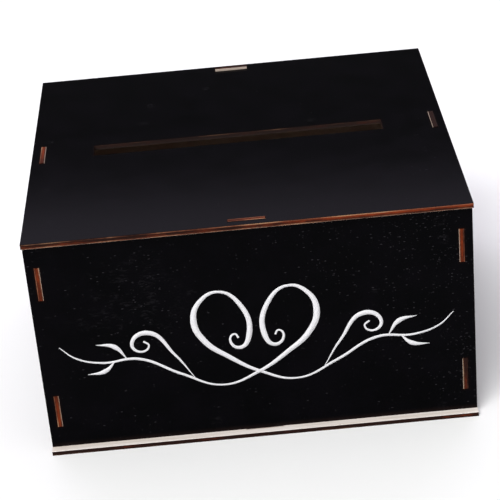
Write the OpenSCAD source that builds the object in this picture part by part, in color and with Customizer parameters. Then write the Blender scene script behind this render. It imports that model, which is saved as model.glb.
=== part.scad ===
// Card box cut from plywood: six flat boards that hold together by tabs in slots.
// The lid has the card slot and lifts straight up off the four tabs that locate it.
// Millimetres, +Z up, front wall towards -Y. The origin is the middle of the base's underside.

/* [Box] */
// Width of the lid and of the base
box_w = 300; // [250:1:400]
// Depth of the lid and of the base, front to back
box_d = 280; // [200:1:400]
// Height of the walls between the base and the lid
wall_h = 160; // [120:1:260]
// Thickness of the plywood
ply_t = 3.6; // [3:0.1:6]

/* [Edges] */
// How far the lid and the base reach out past the front wall
front_lip = 5.5; // [4:0.5:20]
// How far the lid and the base reach out past the back wall
back_lip = 6; // [4:0.5:20]
// How far the side walls stand in from the side edges of the lid and the base
side_lip = 6; // [4:0.5:20]
// How far the front and back walls stop short of those side edges
wall_end_gap = 0.2; // [0:0.1:2]

/* [Tabs] */
// Length of the tabs on the top and bottom edges of the front and back walls
cross_tab_l = 25; // [15:1:60]
// Length of the tabs on the top and bottom edges of the side walls
side_tab_l = 28; // [15:1:60]
// Length of the tabs on the ends of the side walls
end_tab_l = 25; // [15:1:35]
// Height of the middle of the lower end tabs above the wall's bottom edge
end_tab_rise = 29; // [20:1:40]
// Depth of the middle of the upper end tabs below the wall's top edge
end_tab_drop = 30; // [20:1:40]
// How far the front wall's top tab stands out of the lid
front_tab_proud = 0.2; // [0:0.1:2]
// How far the back wall's top tab stands out of the lid
back_tab_proud = 1.6; // [0:0.1:2]
// How far the side walls' top tabs stand out of the lid
side_tab_proud = 0.5; // [0:0.1:2]
// How far the end tabs stand out of the front and back walls
end_tab_proud = 0.2; // [0:0.1:2]
// Gap on every side of a tab in its slot
tab_gap = 0.15; // [0.05:0.05:0.5]

/* [Card slot] */
// Length of the card slot, along the width of the lid
slot_l = 210; // [120:1:220]
// Width of the card slot
slot_w = 17; // [8:0.5:40]

/* [Hidden] */

// Colours: blackened faces
BLACK = "#17161a";

// Levels of the base's top face and of the lid's underside
wall_z = ply_t;
lid_z = wall_z + wall_h;

// Outer faces of the four walls
front_y = front_lip - box_d / 2;
back_y = box_d / 2 - back_lip;
side_x = box_w / 2 - side_lip;

// Length of the front and back walls, and of the side walls between them
cross_wall_l = box_w - 2 * wall_end_gap;
side_wall_l = back_y - front_y - 2 * ply_t;
// Middle of the side walls, front to back
side_mid_y = (front_y + back_y) / 2;

// Heights of the middles of the end tabs, above the wall's bottom edge
end_tab_zs = [end_tab_rise, wall_h - end_tab_drop];

// Tab on an edge that runs along X: len long, out past y = 0 by reach
module edge_tab(len, reach) {
    translate([-len / 2, -ply_t]) square([len, ply_t + reach]);
}

// Slot for a tab of the given length that runs along X, with the running gap all round
module tab_slot(len) {
    square([len + 2 * tab_gap, ply_t + 2 * tab_gap], center = true);
}

// The four slots that the walls' tabs pass through, in the lid and in the base
module wall_tab_slots() {
    for (y = [front_y + ply_t / 2, back_y - ply_t / 2])
        translate([0, y]) tab_slot(cross_tab_l);
    for (x = [-1, 1])
        translate([x * (side_x - ply_t / 2), side_mid_y]) rotate(90) tab_slot(side_tab_l);
}

// Outline of the board that the lid and the base share
module cover_outline() {
    difference() {
        square([box_w, box_d], center = true);
        wall_tab_slots();
    }
}

// Outline of a front or back wall, standing up along Y, with its bottom edge at y = 0
module cross_wall_outline(top_proud) {
    difference() {
        union() {
            translate([-cross_wall_l / 2, 0]) square([cross_wall_l, wall_h]);
            translate([0, wall_h]) edge_tab(cross_tab_l, ply_t + top_proud);
            rotate(180) edge_tab(cross_tab_l, ply_t);
        }
        for (x = [-1, 1], z = end_tab_zs)
            translate([x * (side_x - ply_t / 2), z]) rotate(90) tab_slot(end_tab_l);
    }
}

// Outline of a side wall, standing up along Y, with its bottom edge at y = 0
module side_wall_outline() {
    translate([-side_wall_l / 2, 0]) square([side_wall_l, wall_h]);
    translate([0, wall_h]) edge_tab(side_tab_l, ply_t + side_tab_proud);
    rotate(180) edge_tab(side_tab_l, ply_t);
    for (x = [-1, 1], z = end_tab_zs)
        translate([x * side_wall_l / 2, z]) rotate(-90 * x) edge_tab(end_tab_l, ply_t + end_tab_proud);
}

// Board of a front or back wall, from y = 0 back to y = ply_t
module cross_wall_board(top_proud) {
    translate([0, ply_t, wall_z]) rotate([90, 0, 0]) linear_extrude(ply_t) cross_wall_outline(top_proud);
}

// Board of a side wall, from x = 0 to x = ply_t
module side_wall_board() {
    translate([0, side_mid_y, wall_z]) rotate([90, 0, 90]) linear_extrude(ply_t) side_wall_outline();
}

module base() {
    color(BLACK) linear_extrude(ply_t) cover_outline();
}

module front_wall() {
    color(BLACK) translate([0, front_y, 0]) cross_wall_board(front_tab_proud);
}

module back_wall() {
    color(BLACK) translate([0, back_y - ply_t, 0]) cross_wall_board(back_tab_proud);
}

module left_wall() {
    color(BLACK) translate([-side_x, 0, 0]) side_wall_board();
}

module right_wall() {
    color(BLACK) translate([side_x - ply_t, 0, 0]) side_wall_board();
}

module lid() {
    color(BLACK) translate([0, 0, lid_z]) linear_extrude(ply_t)
        difference() {
            cover_outline();
            square([slot_l, slot_w], center = true);
        }
}

base();
front_wall();
back_wall();
left_wall();
right_wall();
lid();
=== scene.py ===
"""Card box of black-stained plywood: the finish of its boards, a white flourish and the studio."""

import math

import bmesh
import bpy
from bpy.props import FloatProperty, FloatVectorProperty, PointerProperty
from mathutils import Matrix, Vector


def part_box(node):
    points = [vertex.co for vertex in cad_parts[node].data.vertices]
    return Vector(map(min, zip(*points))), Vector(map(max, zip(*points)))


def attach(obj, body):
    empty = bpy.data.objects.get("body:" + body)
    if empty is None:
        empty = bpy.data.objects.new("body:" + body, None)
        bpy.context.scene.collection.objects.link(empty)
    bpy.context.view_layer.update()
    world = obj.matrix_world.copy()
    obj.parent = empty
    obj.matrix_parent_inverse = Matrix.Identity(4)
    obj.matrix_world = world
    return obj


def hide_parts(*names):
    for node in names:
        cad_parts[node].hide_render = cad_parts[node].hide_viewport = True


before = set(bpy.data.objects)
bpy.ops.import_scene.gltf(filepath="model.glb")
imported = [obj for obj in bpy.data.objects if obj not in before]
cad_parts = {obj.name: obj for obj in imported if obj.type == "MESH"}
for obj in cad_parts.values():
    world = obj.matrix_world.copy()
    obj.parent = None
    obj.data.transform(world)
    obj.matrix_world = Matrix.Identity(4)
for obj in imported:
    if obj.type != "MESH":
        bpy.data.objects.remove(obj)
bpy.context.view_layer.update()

bl_info = {
    "name": "Plywood Card Box",
    "version": (1, 0, 0),
    "blender": (4, 5, 0),
    "location": "3D View > Sidebar > Card Box",
    "description": "Dresses the boards of a tab-and-slot card box and sets up its studio",
    "category": "Object",
}

MM = 0.001


def srgb(code):
    """Turns an sRGB hex colour such as "1a2b3c" into linear red, green and blue."""
    parts = [int(code[i : i + 2], 16) / 255 for i in (0, 2, 4)]
    return tuple(p / 12.92 if p <= 0.04045 else ((p + 0.055) / 1.055) ** 2.4 for p in parts)


def opaque(colour):
    """Gives a linear colour the alpha that a node's socket wants."""
    return (*colour, 1.0)


def length(name, description, default, low=0.0, high=1.0):
    """A size in metres that a user can set."""
    return FloatProperty(
        name=name, description=description, default=default, min=low, max=high,
        unit="LENGTH", subtype="DISTANCE", precision=5,
    )


def share(name, description, default):
    """A share from 0 to 1 that a user can set."""
    return FloatProperty(
        name=name, description=description, default=default, min=0, max=1, subtype="FACTOR",
    )


def strength(name, description, default):
    """The strength of a light that a user can set."""
    return FloatProperty(name=name, description=description, default=default, min=0)


def angle(name, description, degrees):
    """An angle that a user can set."""
    return FloatProperty(
        name=name, description=description, default=math.radians(degrees), subtype="ANGLE",
    )


def colour(name, description, code):
    """A colour that a user can set, from its sRGB hex code."""
    return FloatVectorProperty(
        name=name, description=description, default=srgb(code), size=3, min=0, max=1,
        subtype="COLOR",
    )


# ---------------------------------------------------------------- settings


class BoardSettings(bpy.types.PropertyGroup):
    """Sizes and colours of the plywood boards."""

    veneer_t: length("Veneer", "Thickness of each face veneer of the three-ply board", 0.9 * MM)
    arris: length("Arris", "Width of the softened edge that sanding leaves on a board", 0.16 * MM)
    core_sink: length("Core sink", "How deep the laser burns the core back", 0.08 * MM)
    scorch_w: length("Scorch width", "Width of the smoke halo beside a cut", 1.4 * MM)
    grain_w: length("Grain width", "Width of one streak of the veneer's grain", 1.4 * MM)
    pore_gap: length("Pore spacing", "Distance between open pores across the grain", 1.4 * MM)
    fleck_gap: length("Fleck spacing", "Distance between places where dust can lie", 2.0 * MM)
    scuff_gap: length("Scuff spacing", "Distance between places where a scuff can lie", 25 * MM)
    char_rim: share("Rim char", "How dark the laser leaves the outer edges", 0.38)
    char_slot: share("Slot char", "How dark the laser leaves the walls of the slots", 0.85)
    rim_smoke: share("Rim smoke", "How much smoke browns the faces beside the outer edges", 0.1)
    stain: colour("Black stain", "Colour of the stained outer faces", "020203")
    stain_high: colour("Worn stain", "Colour of the stain where it lies thinner", "050407")
    # Painted glow: this brown is mixed into the lowest millimetres of each wall.
    foot_glow: colour("Thin stain", "Colour of the worn stain at the foot of a wall", "2a1f1c")
    fleck: colour("Fleck", "Colour of dust flecks and bare fibres in the stain", "373539")
    # The base's upper face and the inner faces are one birch; the inner faces' colour is darker as
    # painted shade for the dim inside of the box.
    base_birch: colour("Base birch", "Colour of the bare upper face of the base", "f2eae6")
    inner_birch: colour("Inner birch", "Colour of the bare inner faces of walls and lid", "cfbeb0")
    scorch: colour("Scorch", "Colour of laser smoke on bare birch", "6e4630")
    veneer_edge: colour("Cut veneer", "Colour of a laser-cut veneer", "9b5a40")
    veneer_pale: colour("Clean veneer", "Colour of a laser-cut veneer that stayed clean", "ae8262")
    core_edge: colour("Cut core", "Colour of the laser-cut core", "8a3410")
    char: colour("Char", "Colour of plywood that the laser has charred", "210e09")
    # A sooty grey for the walls of the slots: partly soot, partly a painted sheen.
    soot_sheen: colour("Soot", "Colour of the soot that stays on the walls of the slots", "3e3634")


class FlourishSettings(bpy.types.PropertyGroup):
    """Sizes and colours of the white flourish on the front wall."""

    pen_w: length("Pen width", "Width of a stroke at full pressure", 4.2 * MM)
    film_t: length("Film thickness", "Thickness of the white film", 0.12 * MM)
    step: length("Step", "Length of one piece of a stroke's outline", 0.6 * MM)
    middle_z: length("Middle height", "Height of the flourish's middle above the table", 80 * MM)
    white: colour("White film", "Colour of the film", "e9e8eb")
    white_low: colour("Sunk film", "Colour of the film where it sinks into the grain", "c9c8cc")


class StudioSettings(bpy.types.PropertyGroup):
    """Camera, floor and light."""

    lens: FloatProperty(
        name="Lens", description="Focal length of the camera", default=129.1, min=20,
        unit="CAMERA", subtype="DISTANCE_CAMERA",
    )
    distance: length("Distance", "From the camera to the point it looks at", 1.346, 0.2, 10)
    azimuth: angle("Azimuth", "How far the camera looks to the right of straight ahead", 0.31)
    elevation: angle("Elevation", "How far the camera looks down", 27.78)
    roll: angle("Roll", "How far the camera leans to the left", 5.18)
    aim_x: length("Aim across", "Place along X of the point the camera looks at", 1.35 * MM, -1, 1)
    aim_z: length("Aim height", "Height of the point the camera looks at", 74.1 * MM, -1, 1)
    floor: colour("Floor", "Colour of the plain floor", "f6f6f6")
    floor_r: length("Floor radius", "From the card box to the edge of the floor", 25, 1, 100)
    key: strength("Key", "Strength of the soft light in front", 2.4)
    key_spread: angle("Key spread", "How wide the soft light in front looks from the card box", 35)
    box_power: strength("Softbox", "Power of the softbox in watts", 3.2)
    box_w: length("Softbox width", "Width of the softbox behind the card box", 1.2, 0.1, 5)
    box_h: length("Softbox height", "Height of the softbox behind the card box", 0.6, 0.1, 5)
    box_y: length("Softbox distance", "From the card box's middle to the softbox", 0.62, 0.1, 5)
    box_z: length("Softbox level", "Height of the softbox's lower edge", 0.52, 0.1, 5)
    box_lean: angle("Softbox lean", "How far the softbox's upper edge leans forward", 30)
    box_tilt: angle("Softbox tilt", "How far the softbox's right end hangs down", -2)
    box_colour: colour("Softbox colour", "Colour of the softbox's cool daylight", "f0e6ff")
    dim: strength("Eye level", "Strength of the studio's light at eye level", 0.10)
    overhead: strength("Overhead", "Strength of the studio's light overhead", 0.75)


class CardBoxSettings(bpy.types.PropertyGroup):
    """Everything that the card box's operators read."""

    boards: PointerProperty(type=BoardSettings)
    flourish: PointerProperty(type=FlourishSettings)
    studio: PointerProperty(type=StudioSettings)


# ---------------------------------------------------------------- materials

# Size across the grain of one streak, spot or cloud of each pattern in the finishes. Fibres, beam
# marks, pores and dust are finer on a real board, and are drawn as coarse as they need to show.
CLOUD = 24 * MM  # thick and thin places in the stain
DUSTY = 30 * MM  # places where dust gathers
TUFT = 11 * MM  # groups of rubbed fibres
WISP = 1 * MM  # rubbed fibres
FIGURE = 16 * MM  # broad figure of birch
PUFF = 9 * MM  # puffs of smoke beside a cut
BURN = 38 * MM  # stretches of a cut that burnt more or less
LICK = 3 * MM  # darker and paler places within such a stretch
BEAM_MARK = 0.7 * MM  # marks of the laser beam across a cut
PLY_SHIFT = 70 * MM  # from one ply's burns to the next one's, so that the plies differ

# Radii of the dots in the finishes.
PORE_R = 0.3 * MM
BARE_PORE_R = 0.25 * MM
DUST_R = 0.4 * MM
SCUFF_R = 5 * MM

# How many times longer along the grain than across it the patterns of the wood are.
STREAK_DRAW = 14
FIBRE_DRAW = 3.2
BIRCH_DRAW = 22
BIRCH_STREAK = 1.6  # width of a streak of bare birch, in grain widths

# How strong each finer layer of a noise is beside the one before.
FALLOFF = 0.55
BURN_FALLOFF = 0.6

# The rubbed patch in the stain of the front wall: its middle, and the radii between which it fades.
WORN_PLACE = (-85 * MM, -134 * MM, 115 * MM)
WORN_FADE = (12 * MM, 52 * MM)

# Between these heights a painted glow at the foot of a wall fades out; and how strong it is below
# them.
FOOT = (3 * MM, 8 * MM)
GLOW_AT_FOOT = 0.5

# Dust gathers toward the upper right: how much height counts for beside width on the way there, and
# how far along that way it starts and is thickest.
DUST_SLANT = 0.8
DUST_RISE = (100 * MM, 240 * MM)

# How far rubbed fibres pale, how much of that shows in the patch and in a scuff, and the share of
# the places for a scuff that have one.
RUB = 0.24
PATCH_RUB = 0.65
SCUFF_RUB = 1.9
SCUFF_CHANCE = 0.7

# Shares of the places for a fleck that hold one: at most, in the worn patch and at least. Then the
# part of them that the lid has, how bright it shows them, and how bright the faintest dot is.
MOST_FLECKS = 0.9
PATCH_FLECKS = 0.25
FEWEST_FLECKS = 0.08
LID_FLECKS = 0.25
LID_FLECK_LIGHT = 0.4
FAINTEST = 0.15

# What the darker figure of birch keeps of the wood's red, green and blue.
FIGURE_SHADE = (0.8, 0.75, 0.68)

# A cut edge, in shares of the board's thickness: how softly core and veneer meet, how far the heat
# of the burnt glue reaches, where that of the rim starts, and where the base's clean veneer starts.
PLY_BLEND = 0.03
GLUE_REACH = 0.05
RIM_START = 0.45
CLEAN_PLY = (0.86, 0.92)

# How much heat the glue and the rim add, and how far it swings along a cut.
GLUE_HEAT = 0.45
RIM_HEAT = 0.4
BURN_SWING = 1.9
LICK_SWING = 0.4

# How much of the sooty grey, partly a painted sheen, the walls of the slots take.
SLOT_SOOT_SHEEN = 0.45

WOOD_IOR = 1.5
VINYL_IOR = 1.46
RELIEF = 0.1 * MM  # height that the bumps of every finish stand for

# Short names of the nodes that come again and again, each with its type and settings. Their
# values stand in the order of their sockets: "mix" takes a share and two colours; "ramp" takes a
# value, the two values between which it runs and the results there, 0 and 1 unless given; "noise"
# takes a place, its scale, how many finer layers it has and how strong each of them is.
KINDS = {
    "mix": ("ShaderNodeMix", {"data_type": "RGBA"}),
    "ramp": ("ShaderNodeMapRange", {"interpolation_type": "SMOOTHSTEP"}),
    "noise": ("ShaderNodeTexNoise", {}),
    "split": ("ShaderNodeSeparateXYZ", {}),
    "join": ("ShaderNodeCombineXYZ", {}),
}
for operation in (
    "ADD", "SUBTRACT", "MULTIPLY", "MULTIPLY_ADD", "POWER", "ABSOLUTE", "ROUND", "MAXIMUM",
    "LESS_THAN",
):
    KINDS[operation.lower()] = ("ShaderNodeMath", {"operation": operation})


def add(tree, kind, *values, **settings):
    """Adds a node with its settings and links, and returns it.

    kind is a node's type or its short name in KINDS. The values go to the sockets in their order,
    or a dict names their sockets. A node given as a value stands for its first output, and a list
    for several links.
    """
    kind, preset = KINDS.get(kind, (kind, {}))
    node = tree.nodes.new(kind)
    for name, value in {**preset, **settings}.items():
        setattr(node, name, value)
    if values and isinstance(values[0], dict):
        pairs = [(node.inputs[name], value) for name, value in values[0].items()]
    else:
        pairs = list(zip((socket for socket in node.inputs if socket.enabled), values))
    for socket, value in pairs:
        for source in value if isinstance(value, list) else [value]:
            if isinstance(source, bpy.types.Node):
                source = next(output for output in source.outputs if output.enabled)
            if isinstance(source, bpy.types.NodeSocket):
                tree.links.new(source, socket)
            else:
                socket.default_value = source
    return node


def new_material(name):
    """An empty node material, as (material, tree)."""
    material = bpy.data.materials.new(name)
    material.use_nodes = True
    material.node_tree.nodes.clear()
    return material, material.node_tree


def spots(tree, vector, gap, radius, chance):
    """Soft dots, a few bright and most of them faint, in some of the cells gap metres apart."""
    cells = add(tree, "ShaderNodeTexVoronoi", {"Vector": vector, "Scale": 1 / gap})
    dot = add(tree, "ramp", cells.outputs["Distance"], radius / gap * 0.5, radius / gap, 1.0, 0.0)
    pick = add(tree, "ShaderNodeSeparateColor", cells.outputs["Color"]).outputs
    chosen = add(tree, "less_than", pick["Red"], chance)
    level = add(tree, "multiply_add", add(tree, "power", pick["Green"], 3), 1 - FAINTEST, FAINTEST)
    return add(tree, "multiply", add(tree, "multiply", dot, chosen), level)


def along_grain(tree, grain, draw):
    """Object coordinates, and the same squeezed along the grain, to draw a pattern out along it."""
    place = add(tree, "ShaderNodeTexCoord").outputs["Object"]
    scale = (1 / draw, 1, 1) if grain == "X" else (1, 1 / draw, 1)
    return place, add(tree, "ShaderNodeMapping", {"Vector": place, "Scale": scale})


def worn_patch(tree, place):
    """Where the stain on the front wall is rubbed, from 1 at the patch's middle to 0 outside it."""
    away = add(tree, "ShaderNodeVectorMath", place, WORN_PLACE, operation="DISTANCE")
    return add(tree, "ramp", away, *WORN_FADE, 1.0, 0.0)


def wall_or_lid(tree, up, on_wall, on_lid):
    """One value at the heights of the walls, and another at that of the lid's upper face."""
    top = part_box("lid")[1].z
    return add(tree, "ramp", up, top - 1.2 * MM, top - 0.2 * MM, on_wall, on_lid)


def fleck_chance(tree, place):
    """How many flecks a spot of the stain has: most at the walls' upper right, few on the lid."""
    across, _, up = add(tree, "split", place).outputs
    to_corner = add(tree, "multiply_add", up, DUST_SLANT, across)
    dusty_side = add(tree, "ramp", to_corner, *DUST_RISE, 0.0, MOST_FLECKS)
    dusty_patch = add(tree, "multiply", worn_patch(tree, place), PATCH_FLECKS)
    cloud = add(tree, "noise", place, 1 / DUSTY, 2, FALLOFF)
    gathered = add(tree, "ramp", cloud, 0.45, 0.65, 0.3, 1.0)
    settled = add(tree, "multiply", add(tree, "maximum", dusty_side, dusty_patch), gathered)
    chance = add(tree, "add", settled, FEWEST_FLECKS)
    return add(tree, "multiply", chance, wall_or_lid(tree, up, 1.0, LID_FLECKS))


def stained_veneer(grain):
    """Birch veneer under a rolled-on black stain: nearly black, dull, pores and dust as flecks."""
    s = bpy.context.scene.card_box.boards
    material, tree = new_material(f"black_stained_birch_{grain.lower()}")
    place, stretched = along_grain(tree, grain, STREAK_DRAW)
    _, drawn_out = along_grain(tree, grain, FIBRE_DRAW)
    up = add(tree, "split", place).outputs[2]

    # Pores and dust, which catch the light as small grey flecks.
    chance = fleck_chance(tree, place)
    pores = spots(tree, drawn_out, s.pore_gap, PORE_R, chance)
    dust = spots(tree, place, s.fleck_gap, DUST_R, chance)
    light = wall_or_lid(tree, up, 1.0, LID_FLECK_LIGHT)
    flecks = add(tree, "multiply", add(tree, "maximum", pores, dust), light)

    # Fibres rubbed bare in the patch and in the small scuffs.
    fibres = add(tree, "noise", drawn_out, 1 / WISP, 2, FALLOFF)
    wisps = add(tree, "ramp", fibres, 0.48, 0.72, 0.0, RUB)
    tufts = add(tree, "ramp", add(tree, "noise", place, 1 / TUFT, 2, FALLOFF), 0.46, 0.62)
    scuffs = spots(tree, place, s.scuff_gap, SCUFF_R, SCUFF_CHANCE)
    patch = add(tree, "multiply", tufts, worn_patch(tree, place))
    rubs = [
        add(tree, "multiply", patch, PATCH_RUB), add(tree, "multiply", scuffs, SCUFF_RUB),
    ]
    rubbed = add(tree, "multiply", wisps, add(tree, "maximum", *rubs))

    # The stain itself, in thick and thin clouds, with a painted brown glow at the foot of each
    # wall.
    streak = add(tree, "noise", stretched, 1 / s.grain_w, 3, FALLOFF)
    cloud = add(tree, "noise", place, 1 / CLOUD, 4, FALLOFF)
    worn = add(tree, "multiply_add", streak, 0.25, add(tree, "ramp", cloud, 0.3, 0.7, 0.0, 0.75))
    stain = add(tree, "mix", worn, opaque(s.stain), opaque(s.stain_high))
    patchy = add(tree, "ramp", cloud, 0.3, 0.6, 0.6, 1.0)
    # Painted glow at the foot of each wall, in patches.
    foot = add(tree, "multiply", add(tree, "ramp", up, *FOOT, GLOW_AT_FOOT, 0.0), patchy)
    foot_glowed = add(tree, "mix", foot, stain, opaque(s.foot_glow))
    halo = add(tree, "ShaderNodeAttribute", attribute_name="scorch").outputs["Fac"]
    smoked = add(tree, "mix", add(tree, "multiply", halo, 0.2), foot_glowed, opaque(s.char))
    base = add(tree, "mix", add(tree, "maximum", flecks, rubbed), smoked, opaque(s.fleck))

    relief = add(tree, "subtract", streak, add(tree, "multiply", pores, 0.6))
    bump = add(tree, "ShaderNodeBump", {"Strength": 0.1, "Distance": RELIEF, "Height": relief})
    shader = add(tree, "ShaderNodeBsdfPrincipled", {
        "Base Color": base,
        "Roughness": add(tree, "ramp", cloud, 0.2, 0.8, 0.15, 0.17),
        "IOR": WOOD_IOR,
        "Specular IOR Level": 0.024,
        "Normal": bump,
    })
    add(tree, "ShaderNodeOutputMaterial", shader)
    return material


def bare_veneer(name, grain, birch):
    """Unfinished rotary-cut birch: pale, matt, faintly streaked, browned by smoke at each cut."""
    s = bpy.context.scene.card_box.boards
    material, tree = new_material(f"{name}_{grain.lower()}")
    place, stretched = along_grain(tree, grain, BIRCH_DRAW)

    # Streaks and pores of the wood.
    streak = add(tree, "noise", stretched, 1 / (s.grain_w * BIRCH_STREAK), 3, FALLOFF)
    figure = add(tree, "noise", stretched, 1 / FIGURE, 2, FALLOFF)
    shade = add(tree, "multiply_add", figure, 0.6, add(tree, "multiply", streak, 0.4))
    darker = opaque(part * kept for part, kept in zip(birch, FIGURE_SHADE))
    wood = add(tree, "mix", add(tree, "ramp", shade, 0.34, 0.66), opaque(birch), darker)
    pores = spots(tree, stretched, s.pore_gap, BARE_PORE_R, 0.5)
    pored = add(tree, "mix", add(tree, "multiply", pores, 0.25), wood, opaque(s.scorch))

    # Smoke beside the cuts, in puffs.
    halo = add(tree, "ShaderNodeAttribute", attribute_name="scorch").outputs["Fac"]
    cloud = add(tree, "noise", place, 1 / PUFF, 2, FALLOFF)
    puffs = add(tree, "ramp", cloud, 0.3, 0.7, 0.35, 0.9)
    smoke = add(tree, "multiply", add(tree, "power", halo, 1.8), puffs)

    bump = add(tree, "ShaderNodeBump", {"Strength": 0.2, "Distance": RELIEF, "Height": streak})
    shader = add(tree, "ShaderNodeBsdfPrincipled", {
        "Base Color": add(tree, "mix", smoke, pored, opaque(s.scorch)),
        "Roughness": 0.72,
        "IOR": WOOD_IOR,
        "Specular IOR Level": 0.3,
        "Normal": bump,
    })
    add(tree, "ShaderNodeOutputMaterial", shader)
    return material


def laser_cut_edge():
    """Laser-cut three-ply: rust-brown core between tan veneers, charred in places."""
    s = bpy.context.scene.card_box.boards
    material, tree = new_material("laser_cut_plywood_edge")
    place = add(tree, "ShaderNodeTexCoord").outputs["Object"]

    # The plies: depth runs from 0 at the outer face to 1 at the inner one.
    depth = add(tree, "ShaderNodeAttribute", attribute_name="ply_depth").outputs["Fac"]
    core_half = 0.5 - s.veneer_t / board_thickness()
    from_middle = add(tree, "absolute", add(tree, "subtract", depth, 0.5))
    veneer = add(tree, "ramp", from_middle, core_half - PLY_BLEND, core_half + PLY_BLEND)
    from_glue = add(tree, "absolute", add(tree, "subtract", from_middle, core_half))
    glue = add(tree, "ramp", from_glue, 0.0, GLUE_REACH, GLUE_HEAT, 0.0)
    rim = add(tree, "ramp", from_middle, RIM_START, 0.5, 0.0, RIM_HEAT)

    # Heat: its level from the board, with painted shade and a painted highlight at a few places,
    # more at the glue and the rim, and uneven along each ply.
    ply = add(tree, "round", add(tree, "multiply", depth, 2))
    shift = add(tree, "multiply", ply, PLY_SHIFT)
    offset = add(tree, "join", shift, shift, shift)
    shifted = add(tree, "ShaderNodeVectorMath", place, offset, operation="ADD")
    burn = add(tree, "noise", shifted, 1 / BURN, 4, BURN_FALLOFF)
    lick = add(tree, "noise", shifted, 1 / LICK, 2, FALLOFF)
    level = add(tree, "ShaderNodeAttribute", attribute_name="char").outputs["Fac"]
    heat = add(tree, "add", add(tree, "multiply_add", burn, BURN_SWING, -BURN_SWING / 2), level)
    heat = add(tree, "add", heat, add(tree, "multiply_add", lick, LICK_SWING, -LICK_SWING / 2))
    heat = add(tree, "add", heat, glue)
    charred = add(tree, "ramp", add(tree, "add", heat, rim), 0.0, 1.0)

    # Colours: clean wood, char, a sooty grey in the slots that is partly a painted sheen, and the
    # base's upper veneer, which stayed clean.
    unburnt = add(tree, "ramp", burn, 0.3, 0.55, 1.0, 0.0)
    tan = add(tree, "mix", unburnt, opaque(s.veneer_edge), opaque(s.veneer_pale))
    wood = add(tree, "mix", veneer, opaque(s.core_edge), tan)
    marks = add(tree, "noise", place, 1 / BEAM_MARK, 1, FALLOFF)
    marked = add(tree, "mix", add(tree, "multiply", marks, 0.2), wood, opaque(s.char))
    burnt = add(tree, "mix", charred, marked, opaque(s.char))
    # The walls of the slots take a sooty grey: partly soot, partly a painted sheen.
    slotted = add(tree, "ShaderNodeAttribute", attribute_name="scorch").outputs["Fac"]
    sooted_sheened = add(tree, "mix", add(tree, "multiply", slotted, SLOT_SOOT_SHEEN), burnt, opaque(s.soot_sheen))
    clean = add(tree, "ShaderNodeAttribute", attribute_name="clean").outputs["Fac"]
    pale = add(tree, "multiply", clean, add(tree, "ramp", depth, *CLEAN_PLY))

    bump = add(tree, "ShaderNodeBump", {"Strength": 0.3, "Distance": RELIEF, "Height": marks})
    shader = add(tree, "ShaderNodeBsdfPrincipled", {
        "Base Color": add(tree, "mix", pale, sooted_sheened, opaque(s.base_birch)),
        "Roughness": 0.6,
        "IOR": WOOD_IOR,
        "Specular IOR Level": 0.05,
        "Normal": bump,
    })
    add(tree, "ShaderNodeOutputMaterial", shader)
    return material


def white_film():
    """Matt white vinyl film pressed on stained wood: even white, with a hint of the grain below."""
    s = bpy.context.scene.card_box
    material, tree = new_material("matt_white_vinyl_film")
    _, stretched = along_grain(tree, "X", STREAK_DRAW)
    grain = add(tree, "noise", stretched, 1 / s.boards.grain_w, 3, FALLOFF)
    sunk = add(tree, "multiply", grain, 0.12)
    tint = add(tree, "mix", sunk, opaque(s.flourish.white), opaque(s.flourish.white_low))
    bump = add(tree, "ShaderNodeBump", {"Strength": 0.08, "Distance": RELIEF, "Height": grain})
    shader = add(tree, "ShaderNodeBsdfPrincipled", {
        "Base Color": tint,
        "Roughness": 0.5,
        "IOR": VINYL_IOR,
        "Normal": bump,
    })
    add(tree, "ShaderNodeOutputMaterial", shader)
    return material


def plain_floor():
    """Matt white studio board: a pale, even floor without any shine."""
    material, tree = new_material("matt_white_floor")
    shader = add(tree, "ShaderNodeBsdfPrincipled", {
        "Base Color": opaque(bpy.context.scene.card_box.studio.floor),
        "Roughness": 0.9,
        "Specular IOR Level": 0.0,
    })
    add(tree, "ShaderNodeOutputMaterial", shader)
    return material


# ---------------------------------------------------------------- boards

WELD = 0.001 * MM  # points of a CAD mesh that lie closer than this are one
CUT_REACH = 0.0001 * MM  # points this near to a cutting plane lie on it
FLAT = math.radians(0.5)  # faces of a CAD mesh that turn less than this are one
ALONG = 0.999  # cosine from which on two directions are the same
SQUARE = 0.01  # cosine up to which two directions are square to each other
TURNED = 0.05  # cosine from which on a rounded arris belongs to the broad face beside it


def board_thickness():
    """Thickness of the plywood, from the base board."""
    low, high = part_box("base")
    return high.z - low.z


def broad_faces(work, direction):
    """The faces that look along the direction."""
    return [f for f in work.faces if f.normal.dot(direction) > ALONG]


def cut_faces(work, outward):
    """The faces that the laser cut: all that stand square to the board."""
    return [f for f in work.faces if abs(f.normal.dot(outward)) < SQUARE]


# Materials that several boards share, by key.
MATERIALS = {}


def cached(key, make):
    """The material of that key, made the first time it is asked for."""
    if key not in MATERIALS:
        MATERIALS[key] = make()
    return MATERIALS[key]


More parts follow.
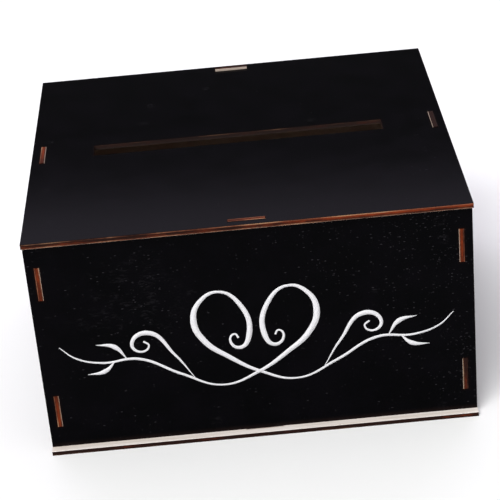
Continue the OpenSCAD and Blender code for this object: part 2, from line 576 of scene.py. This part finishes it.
def build_board(name, node, body, outward, grain, bare="inner_birch"):
    """Dresses one CAD board: its outer face looks along outward, its inner face the other way."""
    s = bpy.context.scene.card_box.boards
    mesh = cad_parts[node].data.copy()
    mesh.name = name
    work = bmesh.new()
    work.from_mesh(mesh)
    bmesh.ops.remove_doubles(work, verts=work.verts, dist=WELD)
    bmesh.ops.dissolve_limit(work, angle_limit=FLAT, verts=work.verts, edges=work.edges)
    outward = Vector(outward)
    outer = max(broad_faces(work, outward), key=lambda face: face.calc_area())
    level = outer.verts[0].co.dot(outward)  # how far out the outer face lies
    thickness = board_thickness()
    cut_plies(work, outward, level, thickness, s)
    soften_arrises(work, outward, s)
    add_halos(work, outward, s)
    paint_board(work, outward, level, thickness, node, s)
    mesh.materials.clear()
    work.to_mesh(mesh)
    work.free()
    for key, make in (
        (f"stained_{grain}", lambda: stained_veneer(grain)),
        (f"{bare}_{grain}", lambda: bare_veneer(bare, grain, getattr(s, bare))),
        ("edge", laser_cut_edge),
    ):
        mesh.materials.append(cached(key, make))
    board = bpy.data.objects.new(name, mesh)
    bpy.context.scene.collection.objects.link(board)
    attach(board, body)
    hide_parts(node)
    return board


def cut_plies(work, outward, level, thickness, s):
    """Splits the cut edges into veneer, core and veneer, and burns the core back a little."""
    for depth in (s.veneer_t, thickness - s.veneer_t):
        # Dicts and not sets, because they keep their order and so cut the same way every run.
        around = cut_faces(work, outward)
        edges = dict.fromkeys(e for f in around for e in f.edges)
        verts = dict.fromkeys(v for f in around for v in f.verts)
        bmesh.ops.bisect_plane(
            work, geom=[*around, *edges, *verts], dist=CUT_REACH,
            plane_co=outward * (level - depth), plane_no=outward,
        )
    middle = level - thickness / 2
    core = [
        f for f in cut_faces(work, outward)
        if abs(f.calc_center_median().dot(outward) - middle) < 0.1 * thickness
    ]
    bmesh.ops.inset_region(
        work, faces=core, thickness=s.core_sink, depth=-s.core_sink, use_even_offset=True,
    )


def soften_arrises(work, outward, s):
    """Rounds the edges between the broad faces and the cut edges."""
    broad = {*broad_faces(work, outward), *broad_faces(work, -outward)}
    rims = [
        e for e in work.edges
        if len(e.link_faces) == 2 and len(broad.intersection(e.link_faces)) == 1
    ]
    bmesh.ops.bevel(
        work, geom=rims, offset=s.arris, segments=2, profile=0.5, affect="EDGES",
        clamp_overlap=True,
    )


def add_halos(work, outward, s):
    """Sets off a narrow ring along each outline of the broad faces, where smoke browns the wood."""
    for direction in (outward, -outward):
        broad = broad_faces(work, direction)
        bmesh.ops.inset_region(work, faces=broad, thickness=s.scorch_w, use_even_offset=True)


# Boxes in which a board's cut edge is darker or paler than elsewhere: the board, the box's two
# corners in millimetres and the change. Mostly the laser burnt more or less there; on the lower
# part of the slot's walls and on the base's front edge the change is painted shade, and on the
# slot's upper veneer it is a painted highlight.
BURNS_AND_SHADES = (
    ("lid", (-151, -141, 166), (-149, -139, 168), 0.5),
    ("lid", (-151, -141, 163), (-149, -139, 165), 0.1),
    ("lid", (149, -141, 166), (151, -139, 168), -0.4),
    ("lid", (149, -141, 163), (151, -139, 165), 0.25),
    ("lid", (-151, -139.98, 164), (-149, -139, 167), 0.15),
    # Painted highlight on the slot's upper veneer and painted shade on its lower part.
    ("lid", (-106, -10, 166), (106, 10, 168), -0.05),
    ("lid", (-106, -10, 163), (106, 10, 165), 0.15),
    ("left_wall", (-148, -20, 163), (-139, 20, 170), 0.15),
    ("left_wall", (-148, -136, 20), (-139, -130, 70), 0.15),
    ("left_wall", (-148, -136, 95), (-139, -130, 145), 0.1),
    ("right_wall", (139, -20, 163), (148, 20, 170), 0.9),
    ("right_wall", (139, -136, 20), (148, -130, 70), 0.5),
    ("right_wall", (139, -136, 95), (148, -130, 145), 0.1),
    ("back_wall", (-20, 129, 165), (20, 141, 170), 0.5),
    ("front_wall", (-20, -141, 165), (20, -129, 170), 0.05),
    # Painted shade on the base's front edge.
    ("base", (-151, -141, -1), (151, -139, 4), 0.6),
)


def char_and_shade_more(node, place):
    """How much more than usual the cut edge is charred at that point of a board, painted shade and
    a painted highlight at a few places included.
    """
    return sum(
        change for board, low, high, change in BURNS_AND_SHADES
        if board == node and all(low[i] * MM < place[i] < high[i] * MM for i in range(3))
    )


def paint_board(work, outward, level, thickness, node, s):
    """Writes each point's depth, scorch and char, the char holding painted shade and a painted
    highlight at a few places, and picks each face's material.
    """
    keys = ("ply_depth", "scorch", "char", "clean")
    layer = {key: work.verts.layers.float.new(key) for key in keys}
    low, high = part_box(node)
    in_plane = [axis for axis in range(3) if outward[axis] == 0]
    work.normal_update()
    for vert in work.verts:
        broad = all(abs(f.normal.dot(outward)) > ALONG for f in vert.link_faces)
        inside = all(low[i] + thickness < vert.co[i] < high[i] - thickness for i in in_plane)
        vert[layer["ply_depth"]] = (level - vert.co.dot(outward)) / thickness
        vert[layer["scorch"]] = 0.0 if broad else 1.0 if inside else s.rim_smoke
        vert[layer["char"]] = (s.char_slot if inside else s.char_rim) + char_and_shade_more(node, vert.co)
        vert[layer["clean"]] = 1.0 if node == "base" else 0.0
    for face in work.faces:
        face.smooth = False
        turned = face.normal.dot(outward)
        depth = level - face.calc_center_median().dot(outward)
        stained = turned > TURNED and depth < s.arris
        bare = turned < -TURNED and depth > thickness - s.arris
        face.material_index = 0 if stained else 1 if bare else 2


class CARDBOX_OT_base(bpy.types.Operator):
    """Dresses the base, whose bare side is up"""

    bl_idname = "cardbox.base"
    bl_label = "Base"

    def execute(self, context):
        build_board("base_board", "base", "box", (0, 0, -1), "X", "base_birch")
        return {"FINISHED"}


class CARDBOX_OT_walls(bpy.types.Operator):
    """Dresses the four walls, whose bare sides face inwards"""

    bl_idname = "cardbox.walls"
    bl_label = "Walls"

    def execute(self, context):
        build_board("front_board", "front_wall", "box", (0, -1, 0), "X")
        build_board("back_board", "back_wall", "box", (0, 1, 0), "X")
        build_board("left_board", "left_wall", "box", (-1, 0, 0), "Y")
        build_board("right_board", "right_wall", "box", (1, 0, 0), "Y")
        return {"FINISHED"}


class CARDBOX_OT_lid(bpy.types.Operator):
    """Dresses the lid, whose bare side is down"""

    bl_idname = "cardbox.lid"
    bl_label = "Lid"

    def execute(self, context):
        build_board("lid_board", "lid", "lid", (0, 0, 1), "X")
        return {"FINISHED"}


# ---------------------------------------------------------------- flourish

# Strokes of the right half, from the flourish's middle: across and up in millimetres, then pen
# pressure. The first is half of the heart, which crosses over at the bottom and ends as a swash.
HEART_AND_SWASH = (
    (12.6, -1.6, 0.34), (15, 1.6, 0.3), (18.4, -2.6, 0.38), (12.2, -9.4, 0.6), (5.2, 0, 0.92),
    (10, 25, 0.74), (23.5, 35.5, 0.42), (36.8, 29, 0.72), (42, 14, 1.04), (35.8, -2, 0.98),
    (20.5, -15.8, 0.78), (0, -29.5, 0.5), (-26, -38, 0.3), (-54, -26, 0.44), (-82, -11, 0.46),
    (-108, -11.5, 0.34), (-125, -6, 0.26), (-135, 3.5, 0.12),
)
SCROLL = (
    (45, -30, 0.1), (57, -10.5, 0.42), (75, 9, 0.84), (85.5, 1, 0.58), (80, -5.6, 0.38),
    (74, -1.4, 0.3), (77.4, 2.4, 0.34),
)
UPPER_LEAF = ((90, -10, 0.1), (97.5, 0.2, 0.84), (110, 3, 0.05))
LOWER_LEAF = ((98, -11, 0.1), (106, -18.4, 0.8), (118, -20, 0.05))
HALF = (HEART_AND_SWASH, SCROLL, UPPER_LEAF, LOWER_LEAF)
NIB_W = 2.0  # side of the square nib before it is scaled to half a stroke's width


def stroke_curves(name):
    """The strokes of the flourish's right half, as smooth curves lying flat round the origin."""
    curves = bpy.data.curves.new(name, "CURVE")
    curves.dimensions = "3D"
    for stroke in HALF:
        spline = curves.splines.new("BEZIER")
        spline.bezier_points.add(len(stroke) - 1)
        for point, (across, up, pressure) in zip(spline.bezier_points, stroke):
            point.co = (across * MM, up * MM, 0)
            point.radius = pressure
            point.handle_left_type = point.handle_right_type = "AUTO"
    return bpy.data.objects.new(name, curves)


def stroke_tree(material):
    """Geometry Nodes that lay a flat film along each stroke, mirror it and stand it on the wall."""
    tree = bpy.data.node_groups.new("calligraphic_stroke", "GeometryNodeTree")
    face = tree.interface
    face.new_socket("Strokes", in_out="INPUT", socket_type="NodeSocketGeometry")
    for label in ("Pen Width", "Film Thickness", "Step", "Wall Face", "Middle Height"):
        face.new_socket(label, in_out="INPUT", socket_type="NodeSocketFloat")
    face.new_socket("Film", in_out="OUTPUT", socket_type="NodeSocketGeometry")
    given = add(tree, "NodeGroupInput").outputs

    # A ribbon of the pen's width along each stroke, with its lower side on the ground.
    steps = {"Curve": given["Strokes"], "Length": given["Step"]}
    fine = add(tree, "GeometryNodeResampleCurve", steps, mode="LENGTH")
    level = add(tree, "GeometryNodeSetCurveNormal", fine, mode="Z_UP")
    half = add(tree, "multiply", given["Pen Width"], 0.5)
    pressed = add(tree, "multiply", half, add(tree, "GeometryNodeInputRadius"))
    nib = add(tree, "GeometryNodeCurvePrimitiveQuadrilateral", NIB_W, NIB_W)
    ribbon = add(tree, "GeometryNodeCurveToMesh", level, nib, pressed, True)
    across, up, out = add(tree, "split", add(tree, "GeometryNodeInputPosition")).outputs
    front = add(tree, "FunctionNodeCompare", out, 0.0, operation="GREATER_THAN")
    height = add(tree, "multiply", front, given["Film Thickness"])
    flat = add(tree, "GeometryNodeSetPosition", {
        "Geometry": ribbon, "Position": add(tree, "join", across, up, height),
    })

    # Its mirror image, joined with it into one film without overlaps, and stood up on the wall.
    mirrored = add(tree, "GeometryNodeTransform", {"Geometry": flat, "Scale": (-1, 1, 1)})
    other = add(tree, "GeometryNodeFlipFaces", mirrored)
    halves = {"Mesh 2": [flat, other]}
    joined = add(tree, "GeometryNodeMeshBoolean", halves, operation="UNION", solver="MANIFOLD")
    spot = add(tree, "join", 0.0, given["Wall Face"], given["Middle Height"])
    stood = add(tree, "GeometryNodeTransform", {
        "Geometry": joined, "Translation": spot, "Rotation": (math.pi / 2, 0, 0),
    })
    real = add(tree, "GeometryNodeRealizeInstances", stood)
    done = add(tree, "GeometryNodeSetMaterial", {"Geometry": real, "Material": material})
    add(tree, "NodeGroupOutput", done)
    return tree


def bake_nodes(source, tree, values, name):
    """Runs a Geometry Nodes tree on an object, and returns the result as a plain mesh object."""
    bpy.context.scene.collection.objects.link(source)
    modifier = source.modifiers.new(tree.name, "NODES")
    modifier.node_group = tree
    for item in tree.interface.items_tree:
        if item.in_out == "INPUT" and item.name in values:
            modifier[item.identifier] = values[item.name]
    graph = bpy.context.evaluated_depsgraph_get()
    mesh = bpy.data.meshes.new_from_object(source.evaluated_get(graph))
    source.modifiers.remove(modifier)
    bpy.data.objects.remove(source)
    mesh.name = name
    piece = bpy.data.objects.new(name, mesh)
    bpy.context.scene.collection.objects.link(piece)
    return piece


class CARDBOX_OT_flourish(bpy.types.Operator):
    """Cuts the white flourish from thin film and presses it on the front wall"""

    bl_idname = "cardbox.flourish"
    bl_label = "Flourish"

    def execute(self, context):
        s = context.scene.card_box.flourish
        values = {
            "Pen Width": s.pen_w, "Film Thickness": s.film_t, "Step": s.step,
            "Wall Face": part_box("front_wall")[0].y, "Middle Height": s.middle_z,
        }
        tree = stroke_tree(white_film())
        film = bake_nodes(stroke_curves("strokes"), tree, values, "front_flourish")
        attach(film, "box")
        return {"FINISHED"}


# ---------------------------------------------------------------- studio

# Direction from the card box to the soft key light: to the left, to the front and up.
KEY_FROM = (-0.45, -0.75, 1.0)

# Heights on the unit sphere of the world: between the first two, 27 and 44 degrees up, it turns
# from dim to bright, and between the last two, 9 and 12 degrees up, the white backdrop ends.
OVERHEAD_RISE = (0.46, 0.70)
BACKDROP_END = (0.156, 0.208)


def aim(camera, s):
    """Places the camera from its distance, azimuth, elevation and roll."""
    forward = Vector((
        math.sin(s.azimuth) * math.cos(s.elevation),
        math.cos(s.azimuth) * math.cos(s.elevation),
        -math.sin(s.elevation),
    ))
    level = Vector((math.cos(s.azimuth), -math.sin(s.azimuth), 0))
    upright = level.cross(forward)
    right = level * math.cos(s.roll) - upright * math.sin(s.roll)
    up = right.cross(forward)
    place = Vector((s.aim_x, 0, s.aim_z)) - forward * s.distance
    turn = Matrix((right, up, -forward)).transposed()
    camera.matrix_world = Matrix.Translation(place) @ turn.to_4x4()


class CARDBOX_OT_studio(bpy.types.Operator):
    """Makes the floor, the lights, the world and the camera"""

    bl_idname = "cardbox.studio"
    bl_label = "Studio"

    def execute(self, context):
        s = context.scene.card_box.studio
        self.floor(s)
        self.key_light(s)
        self.softbox(s)
        self.world(s)
        self.camera(s)
        context.scene.view_settings.view_transform = "Standard"
        return {"FINISHED"}

    def floor(self, s):
        """A plain round floor that reaches past every view."""
        mesh = bpy.data.meshes.new("floor")
        work = bmesh.new()
        bmesh.ops.create_circle(work, cap_ends=True, segments=96, radius=s.floor_r)
        work.to_mesh(mesh)
        work.free()
        mesh.materials.append(plain_floor())
        floor = bpy.data.objects.new("floor", mesh)
        bpy.context.scene.collection.objects.link(floor)

    def key_light(self, s):
        """A wide, soft light from the upper left, in front."""
        data = bpy.data.lights.new("key_light", "SUN")
        data.energy = s.key
        data.angle = s.key_spread
        light = bpy.data.objects.new("key_light", data)
        light.rotation_euler = Vector(KEY_FROM).to_track_quat("Z", "Y").to_euler()
        bpy.context.scene.collection.objects.link(light)

    def softbox(self, s):
        """A lamp behind the card box, which gives the front half of the lid its sheen."""
        data = bpy.data.lights.new("softbox", "AREA")
        data.shape = "RECTANGLE"
        data.size = s.box_w
        data.size_y = s.box_h
        data.energy = s.box_power
        data.color = s.box_colour
        light = bpy.data.objects.new("softbox", data)
        turn = Matrix.Rotation(math.pi / 2 + s.box_lean, 4, "X") @ Matrix.Rotation(math.pi, 4, "Y")
        lower_edge = Matrix.Translation((0, s.box_y, s.box_z))
        tilt = Matrix.Rotation(s.box_tilt, 4, "Y")
        light.matrix_world = lower_edge @ tilt @ turn @ Matrix.Translation((0, s.box_h / 2, 0))
        light.visible_camera = False
        bpy.context.scene.collection.objects.link(light)

    def world(self, s):
        """A studio dim at eye level and bright overhead, with a white backdrop round the floor."""
        world = bpy.data.worlds.new("studio")
        bpy.context.scene.world = world
        world.use_nodes = True
        tree = world.node_tree
        tree.nodes.clear()
        way = add(tree, "ShaderNodeTexCoord").outputs["Generated"]
        height = add(tree, "split", way).outputs[2]
        light = add(tree, "ramp", height, *OVERHEAD_RISE, s.dim, s.overhead)
        ray = add(tree, "ShaderNodeLightPath").outputs
        mirrored = add(tree, "maximum", ray["Is Glossy Ray"], ray["Is Transmission Ray"])
        seen = add(tree, "maximum", ray["Is Camera Ray"], mirrored)
        white = add(tree, "ramp", height, *BACKDROP_END, 1.0, 0.0)
        backdrop = add(tree, "multiply", white, seen)
        shade = add(tree, "ShaderNodeBackground", {
            "Color": opaque((1, 1, 1)), "Strength": add(tree, "maximum", light, backdrop),
        })
        add(tree, "ShaderNodeOutputWorld", shade)

    def camera(self, s):
        """The camera, with room to look from near and far."""
        data = bpy.data.cameras.new("camera")
        data.lens = s.lens
        data.clip_start = 10 * MM
        data.clip_end = 100
        camera = bpy.data.objects.new("camera", data)
        bpy.context.scene.collection.objects.link(camera)
        aim(camera, s)
        bpy.context.scene.camera = camera


class CARDBOX_PT_panel(bpy.types.Panel):
    """Lists the card box's operators and sizes"""

    bl_idname = "CARDBOX_PT_panel"
    bl_label = "Card Box"
    bl_space_type = "VIEW_3D"
    bl_region_type = "UI"
    bl_category = "Card Box"

    def draw(self, context):
        for step in STEPS:
            self.layout.operator(step)
        settings = context.scene.card_box
        for group in (settings.boards, settings.flourish, settings.studio):
            box = self.layout.box()
            for name in group.__annotations__:
                box.prop(group, name)


CLASSES = (
    BoardSettings, FlourishSettings, StudioSettings, CardBoxSettings,
    CARDBOX_OT_base, CARDBOX_OT_walls, CARDBOX_OT_lid, CARDBOX_OT_flourish, CARDBOX_OT_studio,
    CARDBOX_PT_panel,
)
STEPS = ("cardbox.base", "cardbox.walls", "cardbox.lid", "cardbox.flourish", "cardbox.studio")


def register():
    """Registers the classes and hangs the settings on the scene."""
    for cls in CLASSES:
        bpy.utils.register_class(cls)
    bpy.types.Scene.card_box = PointerProperty(type=CardBoxSettings)


def unregister():
    """Takes the settings and the classes away again."""
    del bpy.types.Scene.card_box
    for cls in reversed(CLASSES):
        bpy.utils.unregister_class(cls)


def main():
    """Builds everything."""
    register()
    bpy.ops.cardbox.base()
    bpy.ops.cardbox.walls()
    bpy.ops.cardbox.lid()
    bpy.ops.cardbox.flourish()
    bpy.ops.cardbox.studio()


if __name__ == "__main__":
    main()
